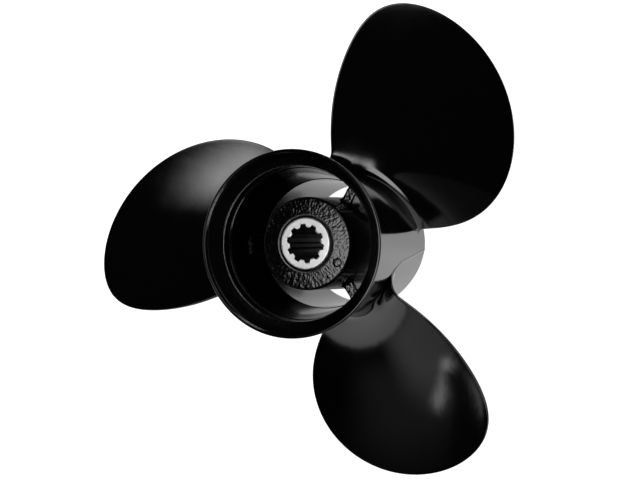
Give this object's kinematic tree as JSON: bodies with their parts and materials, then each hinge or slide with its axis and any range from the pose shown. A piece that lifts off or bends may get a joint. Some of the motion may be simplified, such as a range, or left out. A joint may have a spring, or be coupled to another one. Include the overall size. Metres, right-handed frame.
{
  "type": "boat propeller",
  "caption": "Right-hand three-blade outboard propeller with a flared through-hub exhaust barrel, ribbed inner hub, torsion rubber and splined sleeve.",
  "frame": {"origin": "on the shaft axis, in the plane of the splined sleeve's front face, which seats on the thrust washer", "axes": "+Z along the shaft axis towards the stern, +Y along the root of blade_1"},
  "size_m": [0.2372, 0.2306, 0.125],
  "materials": {
    "blades": "cast aluminium under gloss black paint",
    "barrel": "cast aluminium under gloss black paint",
    "hub": "rough as-cast aluminium under black paint",
    "rubber": "moulded black rubber",
    "sleeve": "bright turned face, broached spline"
  },
  "bodies": {
    "casting": {"blade_1": "blades", "blade_2": "blades", "blade_3": "blades", "outer_barrel": "barrel", "diffuser_ring": "barrel", "inner_hub": "hub", "rib_1": "hub", "rib_2": "hub", "rib_3": "hub"},
    "bush": {"rubber_bush": "rubber", "splined_sleeve": "sleeve"}
  },
  "joints": [
    {"name": "bush_twist", "type": "hinge", "parent": "casting", "child": "bush", "pos_m": [0, 0, 0], "axis": [0, 0, 1], "range_deg": [-8, 8], "stiffness_Nm_per_rad": 560}
  ]
}
